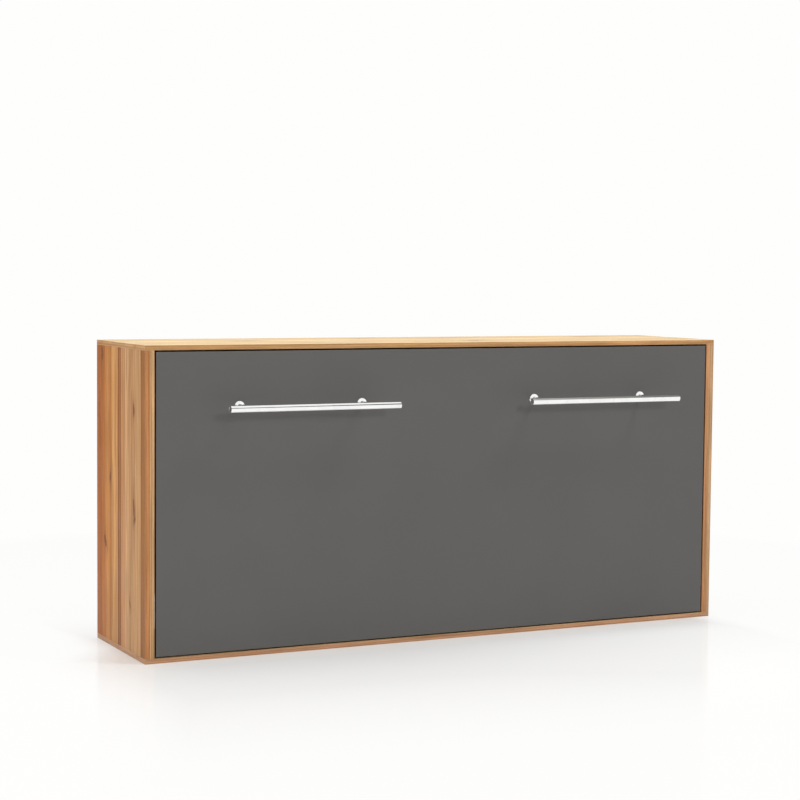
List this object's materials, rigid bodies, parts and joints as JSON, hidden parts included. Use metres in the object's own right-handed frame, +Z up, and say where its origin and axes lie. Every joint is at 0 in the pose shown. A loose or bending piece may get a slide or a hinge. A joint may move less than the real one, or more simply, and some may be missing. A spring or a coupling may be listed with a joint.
{
  "type": "cabinet bed",
  "caption": "Low wood-grain cabinet with a grey front panel that folds down into a single bed, standing on its long chrome bar handles.",
  "frame": {"origin": "middle of the bottom panel's underside, on the floor", "axes": "+X along the length of the bed, to the right seen from the front; -Y is the front, +Y the wall side; +Z up"},
  "size_m": [2.18, 0.639, 1.02],
  "materials": {
    "wood_laminate": "matte wood-grain laminate in warm brown planks",
    "grey_panel": "flat satin warm-grey lacquered board",
    "inner_board": "plain laminated board",
    "pine": "planed softwood",
    "birch": "bent birch plywood",
    "ticking": "woven mattress ticking",
    "webbing": "woven polyester webbing",
    "black_plastic": "moulded black plastic",
    "rubber": "black rubber",
    "chrome": "polished chrome plate",
    "black_steel": "black painted steel",
    "bronze": "sintered bronze",
    "zinc_steel": "zinc-plated steel"
  },
  "bodies": {
    "cabinet": {"bottom_panel": "wood_laminate", "top_panel": "wood_laminate", "left_outer_side": "wood_laminate", "left_inner_side": "wood_laminate", "right_outer_side": "wood_laminate", "right_inner_side": "wood_laminate", "carcass_dowels": "birch", "back_panel": "inner_board", "lower_wall_rail": "inner_board", "upper_wall_rail": "inner_board", "left_stop_batten": "pine", "right_stop_batten": "pine", "stop_buffers": "rubber", "magnet_catches": "zinc_steel", "left_pivot_plate": "zinc_steel", "right_pivot_plate": "zinc_steel", "left_pivot_pin": "zinc_steel", "right_pivot_pin": "zinc_steel", "spacer_sleeves": "zinc_steel", "retaining_clips": "zinc_steel", "cabinet_plate_screws": "zinc_steel", "left_spring_bracket": "zinc_steel", "right_spring_bracket": "zinc_steel", "left_upper_stud": "zinc_steel", "right_upper_stud": "zinc_steel"},
    "bed": {"front_panel": "grey_panel", "left_end_rail": "pine", "right_end_rail": "pine", "lower_long_rail": "pine", "upper_long_rail": "pine", "lower_slat_ledge": "pine", "upper_slat_ledge": "pine", "centre_beam": "pine", "slats": "birch", "corner_angles": "zinc_steel", "mattress": "ticking", "mattress_straps": "webbing", "strap_buckles": "black_plastic", "left_bed_plate": "zinc_steel", "right_bed_plate": "zinc_steel", "pivot_bushes": "bronze", "bed_plate_screws": "zinc_steel", "strike_plates": "zinc_steel", "left_handle_bar": "chrome", "right_handle_bar": "chrome", "handle_posts": "chrome", "handle_flanges": "chrome", "handle_end_caps": "chrome", "handle_bolts": "zinc_steel"},
    "left_spring_tube": {"left_spring_cylinder": "black_steel", "left_upper_eye": "zinc_steel"},
    "left_spring_piston": {"left_spring_rod": "chrome", "left_lower_eye": "zinc_steel", "left_lower_stud": "zinc_steel"},
    "right_spring_tube": {"right_spring_cylinder": "black_steel", "right_upper_eye": "zinc_steel"},
    "right_spring_piston": {"right_spring_rod": "chrome", "right_lower_eye": "zinc_steel", "right_lower_stud": "zinc_steel"}
  },
  "joints": [
    {"name": "bed_tilt", "type": "hinge", "parent": "cabinet", "child": "bed", "pos_m": [0, -0.22, 0.169], "axis": [1, 0, 0], "range_deg": [0, 90]},
    {"name": "left_spring_swing", "type": "hinge", "parent": "cabinet", "child": "left_spring_tube", "pos_m": [-1.04, -0.16, 0.444], "axis": [1, 0, 0], "range_deg": [0, 14.52]},
    {"name": "left_rod_slide", "type": "slide", "parent": "left_spring_tube", "child": "left_spring_piston", "axis": [0, 0.141, 0.99], "range_m": [0, 0.10002]},
    {"name": "right_spring_swing", "type": "hinge", "parent": "cabinet", "child": "right_spring_tube", "pos_m": [1.04, -0.16, 0.444], "axis": [1, 0, 0], "range_deg": [0, 14.52]},
    {"name": "right_rod_slide", "type": "slide", "parent": "right_spring_tube", "child": "right_spring_piston", "axis": [0, 0.141, 0.99], "range_m": [0, 0.10002]}
  ],
  "couplings": [
    {"joint": "left_spring_swing", "follows": "bed_tilt", "ratio": 0.16132},
    {"joint": "left_rod_slide", "follows": "bed_tilt", "m_per_rad": 0.063665},
    {"joint": "right_spring_swing", "follows": "bed_tilt", "ratio": 0.16132},
    {"joint": "right_rod_slide", "follows": "bed_tilt", "m_per_rad": 0.063665}
  ]
}
